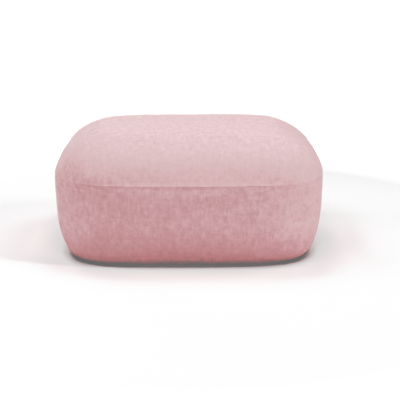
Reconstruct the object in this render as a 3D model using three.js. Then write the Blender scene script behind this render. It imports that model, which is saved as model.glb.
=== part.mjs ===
// An upholstered footstool: one wide, low block with every edge and corner rounded, covered all over
// in a soft napped cloth. It has no feet or frame that show and stands on its own flat underside.
//
// The cover is cut in two pieces, which meet in one level seam round the body:
//   upper_cover   the top panel over its share of the filling, rolled down on every side to the seam
//   lower_cover   the side panel under the seam, drawn in at the floor and turned under
//
// Both are filled solids. Millimetres, +X to the right, +Y to the back, +Z up. The origin is the
// middle of the flat underside, on the surface that the footstool stands on.

import * as THREE from "three";

// Outside sizes of the whole footstool.
const WIDTH = 840;
const DEPTH = 600;
const HEIGHT = 400;

// The seam: its height, the space left between the two pieces, and how far and over what height
// each sewn edge is pulled in.
const SEAM_HEIGHT = 262;
const SEAM_SPACE = 0.3;
const SEAM_TUCK = 2.0;
const SEAM_TUCK_HEIGHT = 9;

// The top rolls in from the side along a quarter of an ellipse. The roll stops this far round, where
// it meets the slope of the crown that the rest of the top rises by.
const TOP_ROLL = 172;
const TOP_ROLL_TURN = THREE.MathUtils.degToRad(83);
const CROWN = 8;

// The side panel: how much it draws in before the foot roll, then the roll under to the floor.
const SIDE_TAPER = 4;
const FOOT_ROLL_HEIGHT = 140;
const FOOT_ROLL = 61;

// Every level outline is a superellipse. A squareness of 2 is an ellipse, and larger is boxier.
const SEAM_SQUARENESS = 3.7;
const TOP_SQUARENESS = 5.6;
const FOOT_SQUARENESS = 4.2;

// How finely the curves are cut.
const STEPS_AROUND = 80;
const TUCK_STEPS = 2;
const TOP_ROLL_STEPS = 11;
const CROWN_STEPS = 4;
const SIDE_STEPS = 3;
const FOOT_ROLL_STEPS = 10;

const CLOTH_COLOUR = 0xd2a3a8;
const CLOTH_ROUGHNESS = 0.95;

const mix = THREE.MathUtils.lerp;

// A level outline is { inset, height, squareness }: how far its middle sides lie inside WIDTH x DEPTH,
// how high it is, and how boxy it is. Its points run anticlockwise, seen from above.
function outlinePoints({ inset, height, squareness, scale = 1 }) {
  const halfWidth = (WIDTH / 2 - inset) * scale;
  const halfDepth = (DEPTH / 2 - inset) * scale;
  return Array.from({ length: STEPS_AROUND }, (_, step) => {
    const angle = (2 * Math.PI * step) / STEPS_AROUND;
    const [c, s] = [Math.cos(angle), Math.sin(angle)];
    const reach = (Math.abs(c) ** squareness + Math.abs(s) ** squareness) ** (-1 / squareness);
    return new THREE.Vector3(halfWidth * reach * c, halfDepth * reach * s, height);
  });
}

// How far an edge is pulled in, this far above or below its seam: all of SEAM_TUCK at the seam
// itself, and none from SEAM_TUCK_HEIGHT on.
function tuck(distance) {
  const left = Math.max(0, 1 - distance / SEAM_TUCK_HEIGHT);
  return SEAM_TUCK * left * left;
}

// Outlines of the top piece, from the sewn edge up to the middle of the crown.
function upperOutlines() {
  const edge = SEAM_HEIGHT + SEAM_SPACE / 2;
  const shoulder = HEIGHT - CROWN;
  const rollHeight = (shoulder - edge) / Math.sin(TOP_ROLL_TURN);
  const onRoll = (turn) => {
    const inward = 1 - Math.cos(turn);
    const rise = rollHeight * Math.sin(turn);
    const squareness = mix(SEAM_SQUARENESS, TOP_SQUARENESS, inward);
    return { inset: TOP_ROLL * inward + tuck(rise), height: edge + rise, squareness };
  };
  const outlines = [];
  const tuckTurn = Math.asin(SEAM_TUCK_HEIGHT / rollHeight);
  for (let i = 0; i < TUCK_STEPS; i++) {
    outlines.push(onRoll((tuckTurn * i) / TUCK_STEPS));
  }
  for (let i = 0; i <= TOP_ROLL_STEPS; i++) {
    outlines.push(onRoll(mix(tuckTurn, TOP_ROLL_TURN, i / TOP_ROLL_STEPS)));
  }
  const crownEdge = outlines.at(-1);
  for (let i = 1; i < CROWN_STEPS; i++) {
    const scale = 1 - i / CROWN_STEPS;
    outlines.push({ ...crownEdge, height: shoulder + CROWN * (1 - scale * scale), scale });
  }
  return outlines;
}

// Outlines of the side piece, from the edge of the flat underside up to the sewn edge.
function lowerOutlines() {
  const edge = SEAM_HEIGHT - SEAM_SPACE / 2;
  const outlines = [];
  for (let i = 0; i <= FOOT_ROLL_STEPS; i++) {
    const turn = mix(Math.PI / 2, 0, i / FOOT_ROLL_STEPS);
    const inward = 1 - Math.cos(turn);
    const squareness = mix(SEAM_SQUARENESS, FOOT_SQUARENESS, inward);
    const height = FOOT_ROLL_HEIGHT * (1 - Math.sin(turn));
    outlines.push({ inset: SIDE_TAPER + FOOT_ROLL * inward, height, squareness });
  }
  const side = (height) => {
    const down = (edge - height) / (edge - FOOT_ROLL_HEIGHT);
    const inset = SIDE_TAPER * down ** 1.5 + tuck(edge - height);
    outlines.push({ inset, height, squareness: SEAM_SQUARENESS });
  };
  for (let i = 1; i <= SIDE_STEPS; i++) {
    side(mix(FOOT_ROLL_HEIGHT, edge - SEAM_TUCK_HEIGHT, i / SIDE_STEPS));
  }
  for (let i = TUCK_STEPS - 1; i >= 0; i--) {
    side(edge - (SEAM_TUCK_HEIGHT * i) / TUCK_STEPS);
  }
  return outlines;
}

// A closed solid through outlines that are given from the bottom up. The bottom is flat. The top is
// closed at a point on the axis, or flat too where topHeight is the last outline's own height.
function solidThrough(outlines, topHeight) {
  const rings = outlines.map(outlinePoints);
  const points = rings.flat();
  const bottomMiddle = points.push(new THREE.Vector3(0, 0, outlines[0].height)) - 1;
  const topMiddle = points.push(new THREE.Vector3(0, 0, topHeight)) - 1;
  const lastRing = (rings.length - 1) * STEPS_AROUND;
  const index = [];
  for (let step = 0; step < STEPS_AROUND; step++) {
    const next = (step + 1) % STEPS_AROUND;
    index.push(bottomMiddle, next, step);
    index.push(topMiddle, lastRing + step, lastRing + next);
    for (let start = 0; start < lastRing; start += STEPS_AROUND) {
      const above = start + STEPS_AROUND;
      index.push(start + step, start + next, above + next);
      index.push(start + step, above + next, above + step);
    }
  }
  const geometry = new THREE.BufferGeometry().setFromPoints(points);
  geometry.setIndex(index);
  geometry.computeVertexNormals();
  return geometry;
}

function clothMaterial() {
  return new THREE.MeshStandardMaterial({
    color: CLOTH_COLOUR,
    roughness: CLOTH_ROUGHNESS,
    metalness: 0,
  });
}

function namedMesh(name, geometry) {
  const mesh = new THREE.Mesh(geometry, clothMaterial());
  mesh.name = name;
  return mesh;
}

const footstool = new THREE.Group();
footstool.name = "footstool";
footstool.add(namedMesh("upper_cover", solidThrough(upperOutlines(), HEIGHT)));
footstool.add(namedMesh("lower_cover", solidThrough(lowerOutlines(), SEAM_HEIGHT - SEAM_SPACE / 2)));

export default footstool;
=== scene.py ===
# %% [markdown]
# # An upholstered footstool
# The real footstool is a block of foam on a light frame, closely covered in a soft napped cloth. The
# cover is cut in two pieces: a top panel whose edges roll down on all sides, and a side panel that
# hangs from one level seam and turns under at the floor. Everything here is in metres, +X to the
# right, +Y to the back and +Z up, with the origin under the middle of the footstool.

# %% Load the fixed frame
import math

import bpy
import numpy as np
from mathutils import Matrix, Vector


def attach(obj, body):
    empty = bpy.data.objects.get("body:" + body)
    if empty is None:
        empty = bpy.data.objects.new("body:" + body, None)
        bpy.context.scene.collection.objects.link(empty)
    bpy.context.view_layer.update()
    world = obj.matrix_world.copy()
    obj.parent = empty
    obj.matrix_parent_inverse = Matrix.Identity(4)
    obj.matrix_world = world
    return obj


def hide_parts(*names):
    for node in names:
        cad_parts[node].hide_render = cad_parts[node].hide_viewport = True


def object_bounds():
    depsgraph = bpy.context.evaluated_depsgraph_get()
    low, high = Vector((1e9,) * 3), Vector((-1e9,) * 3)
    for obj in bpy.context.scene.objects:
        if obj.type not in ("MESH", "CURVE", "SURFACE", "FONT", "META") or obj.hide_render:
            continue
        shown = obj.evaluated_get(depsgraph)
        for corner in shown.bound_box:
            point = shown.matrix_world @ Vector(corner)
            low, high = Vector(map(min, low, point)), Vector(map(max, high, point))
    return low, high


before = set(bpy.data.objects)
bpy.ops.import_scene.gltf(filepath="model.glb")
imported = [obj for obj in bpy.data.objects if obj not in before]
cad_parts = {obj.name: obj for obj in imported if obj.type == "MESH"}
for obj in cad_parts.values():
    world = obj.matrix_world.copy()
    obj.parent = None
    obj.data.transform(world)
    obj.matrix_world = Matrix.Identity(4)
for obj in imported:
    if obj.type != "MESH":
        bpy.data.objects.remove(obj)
solid_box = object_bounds()
scene = bpy.context.scene
print("the solids reach from", solid_box[0][:], "to", solid_box[1][:])

# %% [markdown]
# ## The camera
# The photograph looks at the long side from a little above. The camera comes first, because every
# later choice is judged through it. Its picture is taken to be 400 pixels square. The footstool stood
# slightly left of and above the middle of the picture, so the camera aims a little to its right and
# below it.

# %% Place the camera
PICTURE = 400
SENSOR_MM = 36
ELEVATION = math.radians(14.5)
DISTANCE = 3.40
FOCAL_PIXELS = 1051.65
BODY_AT = (189.05, 182.56)

middle = Vector((0, 0, (solid_box[0].z + solid_box[1].z) / 2))
towards_camera = Vector((0, -math.cos(ELEVATION), math.sin(ELEVATION)))
camera_right = Vector((1, 0, 0))
camera_up = Vector((0, math.sin(ELEVATION), math.cos(ELEVATION)))
metres_per_pixel = DISTANCE / FOCAL_PIXELS
aim = middle + camera_right * (PICTURE / 2 - BODY_AT[0]) * metres_per_pixel
aim -= camera_up * (PICTURE / 2 - BODY_AT[1]) * metres_per_pixel

camera = bpy.data.objects.new("camera", bpy.data.cameras.new("camera"))
scene.collection.objects.link(camera)
camera.data.sensor_width = SENSOR_MM
camera.data.lens = FOCAL_PIXELS / PICTURE * SENSOR_MM
camera.location = middle + towards_camera * DISTANCE
camera.rotation_euler = (aim - camera.location).to_track_quat("-Z", "Y").to_euler()
scene.camera = camera
print(f"lens {camera.data.lens:.1f} mm, one pixel is {metres_per_pixel * 1000:.1f} mm at the footstool")

# %% [markdown]
# ## Reading the form from the solids
# Each solid was built from level outlines, one above the other. Read back as a table of rows and
# columns, they give the cloth its form and its thread directions at once: a column runs down the cloth
# from the seam, and a row runs round the body. A remesh would give the same form, but it would lose
# the thread directions and could not hold a seam a few millimetres wide.

# %% Read the level outlines of a solid
AXIS_NEAR = 1e-4
LEVEL_SLACK = 2e-5


def level_outlines(node):
    """The solid's outlines from the bottom up: rows of points, each row from +X anticlockwise."""
    points = np.array([v.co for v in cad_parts[node].data.vertices])
    points = np.unique(points.round(6), axis=0)
    points = points[np.hypot(points[:, 0], points[:, 1]) > AXIS_NEAR]
    levels = np.sort(points[:, 2])
    levels = levels[np.append(True, np.diff(levels) > LEVEL_SLACK)]
    rows = []
    for level in levels:
        row = points[abs(points[:, 2] - level) < LEVEL_SLACK]
        turn = (np.arctan2(row[:, 1], row[:, 0]) + AXIS_NEAR) % (2 * np.pi)
        rows.append(row[np.argsort(turn)])
    return np.array(rows)


upper_outlines = level_outlines("upper_cover")
lower_outlines = level_outlines("lower_cover")
print("outlines above and below the seam:", upper_outlines.shape, lower_outlines.shape)

# %% [markdown]
# The outlines are too coarse for cloth, so they are read off more finely: round the body with a
# Fourier series, because an outline repeats after one turn, and down the body along smooth curves.

# %% Read a table of outlines off more finely
COLUMNS = 280
FRONT = COLUMNS * 3 // 4


def finer_round(rows):
    """The same closed outlines with COLUMNS points each."""
    series = np.fft.rfft(rows, axis=1)
    return np.fft.irfft(series, n=COLUMNS, axis=1) * COLUMNS / rows.shape[1]


def smooth_through(rows, places, wanted):
    """Rows that stand at these places, read off at the wanted places along smooth curves."""
    slopes = np.gradient(rows, places, axis=0)
    below = np.clip(np.searchsorted(places, wanted) - 1, 0, len(places) - 2)
    span = (places[below + 1] - places[below])[:, None, None]
    t = (wanted - places[below])[:, None, None] / span
    return (
        (2 * t**3 - 3 * t**2 + 1) * rows[below]
        + (t**3 - 2 * t**2 + t) * span * slopes[below]
        + (3 * t**2 - 2 * t**3) * rows[below + 1]
        + (t**3 - t**2) * span * slopes[below + 1]
    )


def length_down(rows, column):
    """How far along one column each row lies from the first."""
    steps = np.linalg.norm(np.diff(rows[:, column], axis=0), axis=1)
    return np.append(0, np.cumsum(steps))


# %% [markdown]
# Rows stand close together at the seam, where the cloth turns in within a few millimetres, and spread
# out away from it. The first row is always the one at the seam.

# %% Space the rows out from the seam
ROW_AT_SEAM = 0.0016
ROW_AWAY = 0.0085
ROW_GROWTH = 1.22
CROWN = 0.008


def row_places(length):
    """Places from 0, at the seam, to length: first close together, then evenly spread."""
    steps = [ROW_AT_SEAM]
    while sum(steps) < length:
        steps.append(min(steps[-1] * ROW_GROWTH, ROW_AWAY))
    return np.append(0, np.cumsum(steps)) * length / sum(steps)


def rows_from_seam(outlines):
    """Fine rows through coarse outlines that start at the seam, and how far down the cloth each is."""
    coarse = finer_round(outlines)
    places = length_down(coarse, FRONT)
    down = row_places(places[-1])
    return smooth_through(coarse, places, down), down


shoulder_level = solid_box[1].z - CROWN
shoulder = int(np.argmin(abs(upper_outlines[:, 0, 2] - shoulder_level)))
top_rows, top_down = rows_from_seam(upper_outlines[: shoulder + 1])
side_rows, side_down = rows_from_seam(lower_outlines[::-1])
print("rows and columns: top panel", top_rows.shape[:2], "side panel", side_rows.shape[:2])

# %% [markdown]
# ## Where each thread runs
# Cloth is cut flat, so each point of a panel also has a place on the flat cloth. The top panel was
# laid over the top and eased down round its edge: its threads stay straight over the top and run on
# down each side. The side panel is a long strip, with one set of threads round the body and the other
# straight down. Its place is kept on a ring, and not on a line, so that a pattern that reads it has no
# jump where the ends of the strip meet behind.

# %% Lay the panels out on the flat cloth
QUARTER = COLUMNS // 4


def outward(rows):
    """The level direction straight out of the body at each point."""
    along = np.roll(rows, -1, axis=1) - np.roll(rows, 1, axis=1)
    out = np.stack([along[..., 1], -along[..., 0], 0 * along[..., 0]], axis=-1)
    return out / np.linalg.norm(out, axis=-1, keepdims=True)


def laid_flat(rows, down):
    """The top panel's flat places: its own x and y, plus the length that it gains by bending down."""
    inward = np.append(0, np.cumsum(abs(np.diff(rows[:, FRONT, 1]))))
    gained = (down[-1] - down) - (inward[-1] - inward)
    return rows * [1, 1, 0] + outward(rows) * gained[:, None, None]


def ring_round(row):
    """A ring as long as this row, with the row's columns at their own distances round it."""
    steps = np.linalg.norm(np.roll(row, -1, axis=0) - row, axis=1)
    so_far = np.append(0, np.cumsum(steps))
    radius = so_far[-1] / (2 * np.pi)
    turn = so_far[:-1] / radius
    return radius * np.stack([np.cos(turn), np.sin(turn), 0 * turn], axis=-1), radius


seam_ring, ring_radius = ring_round(side_rows[0])
DOWN = np.array([0, 0, -1.0])
top_flat = laid_flat(top_rows, top_down)
side_flat = seam_ring[None] + DOWN * side_down[:, None, None]
print(f"the seam is {2 * np.pi * ring_radius:.3f} m round, the side panel {side_down[-1]:.3f} m deep")

# %% [markdown]
# The crown of the top is closed by a square grid, ruled between the four quarters of its rim, so that
# no faces crowd together at a pole.

# %% Close the top with a grid
def grid_within(rim):
    """A square grid of points inside a rim, from straight lines between its opposite quarters."""
    rim = np.roll(rim, QUARTER // 2, axis=0)
    right, back, left, front = [np.roll(rim, -QUARTER * k, axis=0)[: QUARTER + 1] for k in range(4)]
    left, back = left[::-1], back[::-1]
    across = np.linspace(0, 1, QUARTER + 1)[:, None, None]
    up = np.linspace(0, 1, QUARTER + 1)[None, :, None]
    ruled = (1 - across) * left[None] + across * right[None]
    ruled = ruled + (1 - up) * front[:, None] + up * back[:, None]
    corners = (1 - across) * ((1 - up) * front[0] + up * back[0])
    corners = corners + across * ((1 - up) * front[-1] + up * back[-1])
    return ruled - corners


def raised(grid, rim):
    """The grid lifted into a shallow dome that meets its rim."""
    turn = np.arctan2(rim[:, 1], rim[:, 0])
    order = np.argsort(turn)
    reach = np.hypot(rim[:, 0], rim[:, 1])
    at = np.arctan2(grid[..., 1], grid[..., 0])
    edge = np.interp(at, turn[order], reach[order], period=2 * np.pi)
    share = np.clip(np.hypot(grid[..., 0], grid[..., 1]) / edge, 0, 1)
    lifted = grid.copy()
    lifted[..., 2] = rim[0, 2] + CROWN * (1 - share**2)
    return lifted


crown_grid = raised(grid_within(top_rows[-1]), top_rows[-1])
print("crown grid", crown_grid.shape[:2], f"highest point {crown_grid[..., 2].max():.4f} m")

# %% [markdown]
# ## Making the panels
# Each panel becomes one closed mesh. Its rows are joined by four-sided faces, and a flat side that is
# hidden, in the seam or on the floor, is closed by strips that run straight across inside a narrow
# border. One face with hundreds of corners would be simpler, but its subdivision takes minutes. Each
# point carries two places: its place on the flat cloth, for the weave, and its place round and away
# from the seam.

# %% A panel's mesh, gathered piece by piece
FLAT_BORDERS = (0.992, 0.96)
AWAY_FROM_SEAM = np.array([0, 0, 1.0])


class Panel:
    """Points, faces and cloth places of one panel, and how they are joined."""

    def __init__(self, name, rows, flat, down, faces_up):
        self.name = name
        self.columns = rows.shape[1]
        self.faces_up = faces_up
        self.points = [rows.reshape(-1, 3)]
        self.flat = [flat.reshape(-1, 3)]
        seam = seam_ring[None] + DOWN * down[:, None, None]
        self.seam = [seam.reshape(-1, 3)]
        self.count = rows.shape[0] * rows.shape[1]
        self.faces = []
        for row in range(rows.shape[0] - 1):
            self.join(row * self.columns, (row + 1) * self.columns)

    def join(self, first, second):
        """Four-sided faces between two rows of points, turned so that they look outwards."""
        for column in range(self.columns):
            after = (column + 1) % self.columns
            face = (first + column, first + after, second + after, second + column)
            self.faces.append(face if self.faces_up else face[::-1])

    def add_points(self, points, flat, seam):
        """Adds points and returns the number of the first."""
        self.points.append(points)
        self.flat.append(flat)
        self.seam.append(seam)
        self.count += len(points)
        return self.count - len(points)

    def close_flat(self, row, last_row):
        """Closes the panel at its first or last row with narrow borders and strips straight across."""
        first = last_row * self.columns
        seam = self.seam[0][first : first + self.columns]
        for share in FLAT_BORDERS:
            inner = row * [share, share, 1]
            second = self.add_points(inner, inner * [1, 1, 0], seam)
            pair = (first, second) if last_row else (second, first)
            self.join(*pair)
            first = second
        for front in range(self.columns // 2):
            back = (self.columns - front) % self.columns
            corners = (front, front + 1, self.columns - front - 1, back)
            face = tuple(first + corner for corner in dict.fromkeys(corners))
            self.faces.append(face if bool(last_row) == self.faces_up else face[::-1])

    def close_with_grid(self, grid, last_row):
        """Closes the panel at its last row with a square grid of faces."""
        size = grid.shape[0] - 1
        numbers = -np.ones((size + 1, size + 1), int)
        rim = np.roll(last_row * self.columns + np.arange(self.columns), QUARTER // 2)
        right, back, left, front = [np.roll(rim, -QUARTER * k)[: QUARTER + 1] for k in range(4)]
        numbers[-1, :], numbers[:, -1] = right, back[::-1]
        numbers[0, :], numbers[:, 0] = left[::-1], front
        inner = grid[1:-1, 1:-1].reshape(-1, 3)
        start = self.add_points(inner, inner * [1, 1, 0], inner * 0 + AWAY_FROM_SEAM)
        numbers[1:-1, 1:-1] = start + np.arange(len(inner)).reshape(size - 1, size - 1)
        for i in range(size):
            for j in range(size):
                corners = numbers[i, j], numbers[i + 1, j], numbers[i + 1, j + 1], numbers[i, j + 1]
                self.faces.append(tuple(int(n) for n in corners))

    def finish(self):
        """The panel as an object, with its two cloth places kept on its points."""
        mesh = bpy.data.meshes.new(self.name)
        mesh.from_pydata(np.concatenate(self.points).tolist(), [], self.faces)
        for name, places in (("flat_place", self.flat), ("seam_place", self.seam)):
            layer = mesh.attributes.new(name, "FLOAT_VECTOR", "POINT")
            layer.data.foreach_set("vector", np.concatenate(places).astype(np.float32).ravel())
        piece = bpy.data.objects.new(self.name, mesh)
        scene.collection.objects.link(piece)
        return piece


# %% Make the two panels
top_parts = Panel("cloth_top", top_rows, top_flat, -top_down, faces_up=True)
top_parts.close_flat(top_rows[0], 0)
top_parts.close_with_grid(crown_grid, len(top_rows) - 1)
cloth_top = top_parts.finish()

side_parts = Panel("cloth_side", side_rows, side_flat, side_down, faces_up=False)
side_parts.close_flat(side_rows[0], 0)
side_parts.close_flat(side_rows[-1], len(side_rows) - 1)
cloth_side = side_parts.finish()
for piece in (cloth_top, cloth_side):
    print(piece.name, len(piece.data.vertices), "points", len(piece.data.polygons), "faces")

# %% [markdown]
# ## Filling the panels
# A cover is cut a little smaller than its filling, so that the foam stretches it smooth and it swells
# slightly between the places where it is held. A cloth simulation does the same: each panel starts a
# little inside its solid, is held along the seam and under the floor edge, and is blown up by a gentle
# pressure. The move of each point is capped, because the foam inside doesn't give much.

# %% Helpers for one piece at a time
def only(piece):
    """Selects this piece and nothing else."""
    bpy.ops.object.select_all(action="DESELECT")
    piece.select_set(True)
    bpy.context.view_layer.objects.active = piece


def vectors(piece, layer="position"):
    """A piece's points, or another of the places kept on them, as rows of three numbers."""
    data = piece.data.attributes[layer].data
    values = np.empty(len(data) * 3)
    data.foreach_get("vector", values)
    return values.reshape(-1, 3)


def move_points(piece, points):
    """Puts the piece's points at new places."""
    piece.data.attributes["position"].data.foreach_set("vector", points.astype(np.float32).ravel())
    piece.data.update()


def normals(piece):
    """The direction out of the cloth at each point."""
    values = np.empty(len(piece.data.vertices) * 3)
    piece.data.vertex_normals.foreach_get("vector", values)
    return values.reshape(-1, 3)


def rise(values, start, end):
    """Smoothly from 0 where values are at start to 1 where they are at end."""
    t = np.clip((values - start) / (end - start), 0, 1)
    return t * t * (3 - 2 * t)


# %% Fill each panel with the cloth simulation
PRESSURE = 4
FRAMES = 20
MOVE_LIMIT = 0.0045
START_INSIDE = 0.0025
HELD_AT_SEAM = 0.004
HELD_AT_FLOOR = 0.002
EASE = 0.05


def free_of_holds(piece):
    """0 where the cloth is held, at the seam and the floor, rising to 1 a short way from both."""
    from_seam = abs(vectors(piece, "seam_place")[:, 2])
    from_floor = vectors(piece)[:, 2]
    return rise(from_seam, HELD_AT_SEAM, EASE) * rise(from_floor, HELD_AT_FLOOR, EASE)


def fill_panel(piece):
    """Swells the panel by a simulated pressure and keeps the result, within MOVE_LIMIT."""
    free = free_of_holds(piece)
    start = vectors(piece) - normals(piece) * START_INSIDE * free[:, None]
    move_points(piece, start)
    held = piece.vertex_groups.new(name="held")
    held.add([int(i) for i in np.nonzero(free == 0)[0]], 1.0, "REPLACE")
    only(piece)
    cloth = piece.modifiers.new("filling", "CLOTH")
    cloth.settings.vertex_group_mass = "held"
    cloth.settings.use_pressure = True
    cloth.settings.uniform_pressure_force = PRESSURE
    cloth.settings.effector_weights.gravity = 0
    cloth.collision_settings.use_collision = False
    for number in range(1, FRAMES + 1):
        scene.frame_set(number)
    swollen = piece.evaluated_get(bpy.context.evaluated_depsgraph_get())
    end = np.array([v.co for v in swollen.data.vertices])
    move = end - start
    length = np.linalg.norm(move, axis=1, keepdims=True)
    move *= np.minimum(1, MOVE_LIMIT / np.maximum(length, 1e-9))
    piece.modifiers.remove(cloth)
    piece.vertex_groups.clear()
    move_points(piece, start + move)
    most = length.max() * 1000
    print(f"{piece.name} swelled by up to {most:.1f} mm, kept within {MOVE_LIMIT * 1000} mm")


for piece in (cloth_top, cloth_side):
    fill_panel(piece)
scene.frame_set(1)

# %% [markdown]
# One subdivision smooths the panels. It would also round the sewn edge by a millimetre or two, which
# would leave a wide dark groove, so that edge is creased first and shaded as a sharp one.

# %% Subdivide, with the sewn edge kept
FOLDED_FROM = math.radians(50)


def keep_sewn_edge(piece):
    """Creases the sewn edge, which is the panel's first row of points."""
    crease = piece.data.attributes.new("crease_edge", "FLOAT", "EDGE")
    for edge in piece.data.edges:
        if max(edge.vertices) < COLUMNS:
            crease.data[edge.index].value = 1.0


def subdivide(piece, levels=1):
    """Smooths the piece by whole levels of subdivision."""
    only(piece)
    smooth = piece.modifiers.new("smooth", "SUBSURF")
    smooth.levels = smooth.render_levels = levels
    bpy.ops.object.modifier_apply(modifier=smooth.name)
    bpy.ops.object.shade_smooth_by_angle(angle=FOLDED_FROM)
    print(piece.name, len(piece.data.polygons), "faces")


for piece in (cloth_top, cloth_side):
    keep_sewn_edge(piece)
    subdivide(piece)

# %% [markdown]
# ## The seam and the cloth's unevenness
# The solids are drawn in by two millimetres at the seam. The soft cloth fills that out again, and only
# its last three millimetres turn in towards the stitches, by less than half a millimetre, so the seam is
# a hairline. The thread pulls a little more here and less there, so the seam wanders and the cloth
# beside it is faintly puckered. Away from it the cloth isn't quite even either, because foam and wadding
# never are. Both panels read the same place along the seam, so they stay together.

# %% Seeded unevenness
WAVE_COUNT = 28
PITCH_RANGE = (0.7, 1.3)


def waves(places, length, seed):
    """Gentle seeded unevenness, mostly from -1 to 1, with bumps of about this length."""
    draw = np.random.default_rng(seed)
    heading = draw.normal(size=(WAVE_COUNT, 3))
    heading /= np.linalg.norm(heading, axis=1, keepdims=True)
    pitch = 2 * np.pi / length * draw.uniform(*PITCH_RANGE, size=(WAVE_COUNT, 1))
    phase = draw.uniform(0, 2 * np.pi, size=WAVE_COUNT)
    return np.cos(places @ (heading * pitch).T + phase).sum(axis=1) / math.sqrt(WAVE_COUNT)


# %% Shape the seam and the surface
FILL_OUT = 0.0020
FILL_OUT_REACH = 0.009
TURN_IN = 0.0004
TURN_IN_REACH = 0.0030
PRESS = 0.00012
PRESS_REACH = 0.0018
PUCKER = 0.0003
PUCKER_LENGTH = 0.030
PUCKER_REACH = 0.014
WANDER = 0.0010
WANDER_LENGTH = 0.30
WANDER_REACH = 0.03
PUCKER_SEED = 1
WANDER_SEED = 2
UNEVEN = ((3, 0.26, 0.0010), (4, 0.09, 0.00035))


def near(away, reach):
    """1 at the seam, easing to 0 at its reach."""
    return np.clip(1 - away / reach, 0, 1) ** 2


def around(away, reach):
    """1 at the seam, fading out like a bell beyond its reach."""
    return np.exp(-((away / reach) ** 2))


def shape_seam(piece):
    """Fills the drawn-in edge out, turns its last part in, presses it shut and lets it wander."""
    points, seam = vectors(piece), vectors(piece, "seam_place")
    away = abs(seam[:, 2])
    round_seam = seam * [1, 1, 0]
    outwards = points * [1, 1, 0]
    outwards /= np.maximum(np.linalg.norm(outwards, axis=1, keepdims=True), AXIS_NEAR)
    filled = FILL_OUT * near(away, FILL_OUT_REACH)
    turned = TURN_IN * near(away, TURN_IN_REACH)
    pressed = PRESS * near(away, PRESS_REACH)
    puckered = PUCKER * waves(round_seam, PUCKER_LENGTH, PUCKER_SEED) * around(away, PUCKER_REACH)
    wandering = WANDER * waves(round_seam, WANDER_LENGTH, WANDER_SEED) * around(away, WANDER_REACH)
    points = points + outwards * (filled - turned - puckered)[:, None]
    points[:, 2] += wandering - pressed * np.sign(seam[:, 2])
    move_points(piece, points)


def make_uneven(piece):
    """Lets the surface rise and fall slightly between the places where it is held."""
    points, out, free = vectors(piece), normals(piece), free_of_holds(piece)
    height = sum(high * waves(points, long, seed) for seed, long, high in UNEVEN)
    points = points + out * (height * free)[:, None]
    points[:, 2] = np.maximum(points[:, 2], 0)
    move_points(piece, points)


for piece in (cloth_top, cloth_side):
    make_uneven(piece)
    shape_seam(piece)
    low, high = vectors(piece).min(axis=0), vectors(piece).max(axis=0)
    print(piece.name, "from", low.round(4), "to", high.round(4))

# %% [markdown]
# ## The cloth
# The cloth is a soft pink with a short nap, which lies this way and that, so the colour is faintly
# clouded and hardly shines. Slubs, which are thicker lengths of yarn, show as fine streaks along and
# across it. All of this could be painted on an image, but a pattern made by nodes stays sharp at any
# distance. A node tree is easier to read as arithmetic, so a small class lets Python's operators add
# the nodes.

# %% A finish built up from expressions
class Finish:
    """A material and its node tree."""

    def __init__(self, name):
        self.material = bpy.data.materials.new(name)
        self.material.use_nodes = True
        self.tree = self.material.node_tree
        self.tree.nodes.clear()

    def node(self, kind, settings=None, inputs=None, output=0):
        """Adds a node, with its settings first and then its inputs, and returns one output."""
        node = self.tree.nodes.new(kind)
        for name, value in (settings or {}).items():
            setattr(node, name, value)
        for name, value in (inputs or {}).items():
            if isinstance(value, Value):
                self.tree.links.new(value.socket, node.inputs[name])
            else:
                node.inputs[name].default_value = value
        return Value(self, node.outputs[output]) if node.outputs else None


class Value:
    """One output of a node. Python's operators on it add Math nodes."""

    def __init__(self, finish, socket):
        self.finish = finish
        self.socket = socket

    def part(self, output):
        """Another output of the same node."""
        return Value(self.finish, self.socket.node.outputs[output])

    def math(self, operation, *others):
        """A Math node on this value and others, each a value or a number."""
        inputs = dict(enumerate((self, *others)))
        return self.finish.node("ShaderNodeMath", {"operation": operation}, inputs)

    def __add__(self, other):
        return self.math("ADD", other)

    def __mul__(self, other):
        return self.math("MULTIPLY", other)

    def __sub__(self, other):
        return self.math("SUBTRACT", other)

    def __rsub__(self, other):
        return self * -1 + other

    def __abs__(self):
        return self.math("ABSOLUTE")

    __radd__ = __add__
    __rmul__ = __mul__


def stretched(place, scale):
    """A place with each of its three directions multiplied."""
    return place.finish.node("ShaderNodeVectorMath", {"operation": "MULTIPLY"}, {0: place, 1: scale})


def cloudy(place, size, detail=2.0, roughness=0.5):
    """Soft noise from about -1 to 1 whose clouds have these three sizes in metres."""
    vector = stretched(place, [1 / s for s in size])
    inputs = {"Vector": vector, "Scale": 1.0, "Detail": detail, "Roughness": roughness}
    return place.finish.node("ShaderNodeTexNoise", None, inputs) * 2 - 1


# %% [markdown]
# The yarns cross at right angles, one over and one under. Where a yarn comes over it stands up, and the
# product of two sine waves says which of the two is on top. On the side panel the place is on a ring,
# so the distance round it is the angle times the radius, and whole numbers of yarns fit the ring.

# %% The weave
YARN = 0.0024
CROSSING_SHARPNESS = 3


def thread_places(finish, on_ring):
    """The place on the flat cloth as one vector, and the distances across and along the yarns."""
    place = finish.node("ShaderNodeAttribute", {"attribute_name": "flat_place"}, output=1)
    x = finish.node("ShaderNodeSeparateXYZ", None, {0: place})
    y, z = x.part(1), x.part(2)
    if not on_ring:
        return place, x, y
    return place, y.math("ARCTAN2", x) * ring_radius, z


def weave(across, along):
    """How high the yarns stand, from 0 between them to 1."""
    yarns_round = round(2 * math.pi * ring_radius / YARN)
    turns = yarns_round / (2 * ring_radius)
    a = (across * turns).math("SINE")
    b = (along * turns).math("SINE")
    on_top = (a * b * CROSSING_SHARPNESS + 0.5).math("MINIMUM", 1.0).math("MAXIMUM", 0.0)
    return abs(a) * on_top + abs(b) * (1 - on_top)


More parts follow.
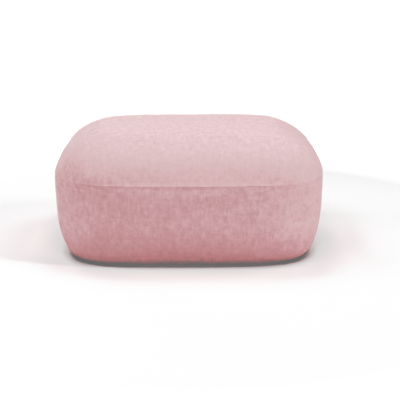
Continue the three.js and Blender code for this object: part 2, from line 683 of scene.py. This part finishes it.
# %% [markdown]
# The clouds of the nap, the slubs and the yarns each make the pink a little deeper or paler, by the
# weights whose names end in TONE. The yarns and slubs, and the fuzz of single fibres, also raise the
# surface, by the heights in metres whose names end in HEIGHT.

# %% The napped cloth's material
def srgb(red, green, blue):
    """A colour as it is read off a screen, from 0 to 255, in the linear numbers that Blender uses."""
    parts = [c / 255 for c in (red, green, blue)]
    return (*[c / 12.92 if c <= 0.04045 else ((c + 0.055) / 1.055) ** 2.4 for c in parts], 1.0)


PALE_PINK = srgb(228, 189, 191)
DEEP_PINK = srgb(210, 175, 177)
SLUB_WIDE = 0.0065
SLUB_LONG = 0.028
CLOUD = 0.019
FUZZ = 0.0012
CLOUD_TONE = 1.1
SLUB_DOWN_TONE = 0.4
SLUB_ROUND_TONE = 0.3
YARN_TONE = 0.25
YARN_MEAN = 0.6
YARN_HEIGHT = 0.00025
SLUB_HEIGHT = 0.00020
FUZZ_HEIGHT = 0.00012
BUMP_STRENGTH = 0.8
NAP_ROUGHNESS = 0.92
NAP_SHINE = 0.2


def cloth_material(name, on_ring):
    """The whole look of one panel's cloth."""
    finish = Finish(name)
    place, across, along = thread_places(finish, on_ring)
    if on_ring:
        down_size = (SLUB_WIDE, SLUB_WIDE, SLUB_LONG)
        round_size = (SLUB_LONG, SLUB_LONG, SLUB_WIDE)
    else:
        down_size = (SLUB_WIDE, SLUB_LONG, SLUB_LONG)
        round_size = (SLUB_LONG, SLUB_WIDE, SLUB_LONG)
    slubs_down = cloudy(place, down_size, detail=1.0)
    slubs_round = cloudy(place, round_size, detail=1.0)
    clouds = cloudy(place, (CLOUD,) * 3, detail=4.0, roughness=0.75)
    yarns = weave(across, along)
    tone = 0.5 + clouds * CLOUD_TONE + slubs_down * SLUB_DOWN_TONE + slubs_round * SLUB_ROUND_TONE
    tone = tone + (yarns - YARN_MEAN) * YARN_TONE
    settings = {"data_type": "RGBA", "clamp_factor": True}
    colour = finish.node("ShaderNodeMix", settings, {0: tone, 6: DEEP_PINK, 7: PALE_PINK}, output=2)
    fuzz = cloudy(place, (FUZZ,) * 3, roughness=0.7)
    height = yarns * YARN_HEIGHT + (slubs_down + slubs_round) * SLUB_HEIGHT + fuzz * FUZZ_HEIGHT
    raised_by = {"Distance": 1.0, "Strength": BUMP_STRENGTH, "Height": height}
    inputs = {
        "Base Color": colour,
        "Roughness": NAP_ROUGHNESS,
        "Specular IOR Level": NAP_SHINE,
        "Normal": finish.node("ShaderNodeBump", None, raised_by),
    }
    surface = finish.node("ShaderNodeBsdfPrincipled", None, inputs)
    finish.node("ShaderNodeOutputMaterial", None, {"Surface": surface})
    return finish.material


cloth_top.data.materials.append(cloth_material("cloth_of_top", on_ring=False))
cloth_side.data.materials.append(cloth_material("cloth_of_side", on_ring=True))
print("cloth colours", [m.name for m in bpy.data.materials if m.name.startswith("cloth")])

# %% [markdown]
# ## The studio
# The footstool stands on a round white floor in white surroundings. Near it the floor is lit like any
# matt surface, so that shadows lie on it. Towards its rim it also glows, so that its edge can't be told
# from the white around it. Only the camera sees that white, so it adds no light. Where the foot meets
# the floor, the photograph has a soft grey band and no black line, so a shadow is painted on the floor
# there for a few centimetres, and a glow is painted close to the foot to lighten the shade under its
# edge. How far out a place lies is its reach: 1 is the painted shadow's width outside the flat
# underside, whose own edge lies at 0.81 in front and 0.87 at the ends. The painted shadow begins at 1
# and the painted glow at its own start further in, and further in each comes to its full strength.

# %% The floor and the surroundings
FLOOR_RADIUS = 1.7
FLOOR_SIDES = 128
FLOOR_WHITE = 0.9
GLOW_FROM = 1.1
GLOW_FULL = 1.6
FOOT_SQUARENESS = 4.2
# Painted shadow on the floor round the foot: its width, where it is full and how much it darkens.
PAINTED_SHADOW_WIDTH = 0.055
PAINTED_SHADOW_FULL = 0.89
PAINTED_SHADOW_DEPTH = 0.42
# Painted glow close under the foot, which lightens the shade there: start, full and strength.
PAINTED_GLOW_FROM = 0.87
PAINTED_GLOW_FULL = 0.83
PAINTED_GLOW_STRENGTH = 0.20


def share(value, start, end):
    """From 0 where the value is at start to 1 where it is at end, in a straight line."""
    sloping = (value - start) * (1 / (end - start))
    return sloping.math("MAXIMUM", 0.0).math("MINIMUM", 1.0)


def reach_from_foot(finish, place):
    """1 at PAINTED_SHADOW_WIDTH outside the foot's edge, and in proportion further out and further in."""
    half = side_rows[-1].max(axis=0) + PAINTED_SHADOW_WIDTH
    place = stretched(place, [1 / half[0], 1 / half[1], 0])
    parts = finish.node("ShaderNodeSeparateXYZ", None, {0: place})
    sides = [abs(part).math("POWER", FOOT_SQUARENESS) for part in (parts, parts.part(1))]
    return (sides[0] + sides[1]).math("POWER", 1 / FOOT_SQUARENESS)


def floor_material():
    """Matt white, with painted shadow and painted glow round the foot, that glows towards the rim."""
    finish = Finish("floor_white")
    place = finish.node("ShaderNodeTexCoord", output=3)
    distance = finish.node("ShaderNodeVectorMath", {"operation": "LENGTH"}, {0: place}, output=1)
    reach = reach_from_foot(finish, place)
    # The floor's white, darkened round the foot by the painted shadow.
    white = (1 - share(reach, 1.0, PAINTED_SHADOW_FULL) * PAINTED_SHADOW_DEPTH) * FLOOR_WHITE
    # Emission: the glow towards the rim, plus a painted glow close under the foot.
    glow = share(distance, GLOW_FROM, GLOW_FULL) + share(reach, PAINTED_GLOW_FROM, PAINTED_GLOW_FULL) * PAINTED_GLOW_STRENGTH
    colour = finish.node("ShaderNodeCombineColor", None, {"Red": white, "Green": white, "Blue": white})
    lit = finish.node("ShaderNodeBsdfDiffuse", None, {"Color": colour})
    glowing = finish.node("ShaderNodeEmission", None, {"Strength": glow})
    surface = finish.node("ShaderNodeAddShader", None, {0: lit, 1: glowing})
    finish.node("ShaderNodeOutputMaterial", None, {"Surface": surface})
    return finish.material


bpy.ops.object.select_all(action="DESELECT")
bpy.ops.mesh.primitive_circle_add(vertices=FLOOR_SIDES, radius=FLOOR_RADIUS, fill_type="NGON")
floor = bpy.context.object
floor.name = "floor"
floor.data.materials.append(floor_material())

world = bpy.data.worlds.new("white_surroundings")
scene.world = world
world.use_nodes = True
background = world.node_tree.nodes["Background"].inputs
background["Color"].default_value = (1.0, 1.0, 1.0, 1.0)
background["Strength"].default_value = 1.0
world.cycles_visibility.diffuse = False
world.cycles_visibility.glossy = False
print("the floor is", 2 * FLOOR_RADIUS, "m across")

# %% [markdown]
# The light comes from a ceiling of square soft boxes, the brightest of them in front, and from boxes
# that stand round the footstool, the brightest of them on the right. A standing box is narrow, so it
# draws a clean edge of shadow along the floor, and tall, so the shadow fades with distance. The one
# behind is low and wide, and softens the shadow in front. One large light would be simpler, but it gives
# one even shadow, and the photograph has several faint ones.

# %% The lights
CEILING = 3.2
CEILING_BOX = 1.2
CEILING_BOXES = {
    "front_left": (-1.6, -2.2, 26),
    "front": (0.0, -2.2, 37),
    "left": (-1.6, -1.1, 8),
    "right": (1.6, 0.0, 24),
    "near_back_left": (-1.6, 1.1, 15),
    "near_back": (0.0, 1.1, 20),
    "far_back": (0.0, 2.2, 6),
}
WALL = 3.0
HIGH_AND_NARROW = {"low": 1.6, "high": 2.6, "width": 0.45}
UPRIGHT_BOXES = {
    "upright_right": {"turn": 66, "watts": 55, **HIGH_AND_NARROW},
    "upright_left": {"turn": 270, "watts": 17, **HIGH_AND_NARROW},
    "upright_back_left": {"turn": 286, "watts": 15, **HIGH_AND_NARROW},
    "upright_back": {"turn": 210, "watts": 29, "low": 0.3, "high": 1.5, "width": 1.5},
}


def soft_box(name, place, facing, width, height, watts):
    """A flat soft light of this width and height that shines in one direction."""
    light = bpy.data.lights.new(name, "AREA")
    light.shape = "RECTANGLE"
    light.size, light.size_y, light.energy = width, height, watts
    lamp = bpy.data.objects.new(name, light)
    scene.collection.objects.link(lamp)
    lamp.location = place
    lamp.rotation_euler = Vector(facing).to_track_quat("-Z", "Y").to_euler()
    lamp.visible_camera = False


def upright_box(name, turn, low, high, width, watts):
    """A box that stands round the footstool. Its turn counts from the front towards the right."""
    out = Vector((math.sin(math.radians(turn)), -math.cos(math.radians(turn)), 0))
    place = out * WALL + Vector((0, 0, (low + high) / 2))
    soft_box(name, place, -out, width, high - low, watts)


for name, (x, y, watts) in CEILING_BOXES.items():
    soft_box(name, (x, y, CEILING), (0, 0, -1), CEILING_BOX, CEILING_BOX, watts)
for name, box in UPRIGHT_BOXES.items():
    upright_box(name, **box)

# %% [markdown]
# The photograph is a bright one with no black in it. So the picture is developed with a tone curve that
# lifts the darkest tones to a mid grey, spreads the tones of the shaded cloth further apart and lifts
# most of the bright ones a little. That keeps the foot a deep rose and the lit top pale, and leaves the
# open floor white. Each pair below is a tone before and after.

# %% Develop the picture
TONES = (
    (0.0, 0.132),
    (0.1, 0.136),
    (0.2, 0.152),
    (0.3, 0.256),
    (0.4, 0.456),
    (0.5, 0.559),
    (0.6, 0.677),
    (0.7, 0.718),
    (0.8, 0.808),
    (0.9, 0.952),
    (1.0, 1.0),
)

view = scene.view_settings
view.view_transform = "Standard"
view.use_curve_mapping = True
tone_curve = view.curve_mapping.curves[3]
tone_curve.points[0].location = TONES[0]
for dark, developed in TONES[1:-1]:
    tone_curve.points.new(dark, developed)
view.curve_mapping.update()
print("tone curve points:", len(tone_curve.points))

# %% [markdown]
# ## Handing the pieces over
# Each panel takes the place of the solid that it covers, which is hidden, and rides on the footstool's
# one body. The cloth may stand proud of the solids by a few millimetres only.

for piece, node, finish in (
    (cloth_top, "upper_cover", "upper_cloth"),
    (cloth_side, "lower_cover", "lower_cloth"),
):
    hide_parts(node)
    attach(piece, "root")
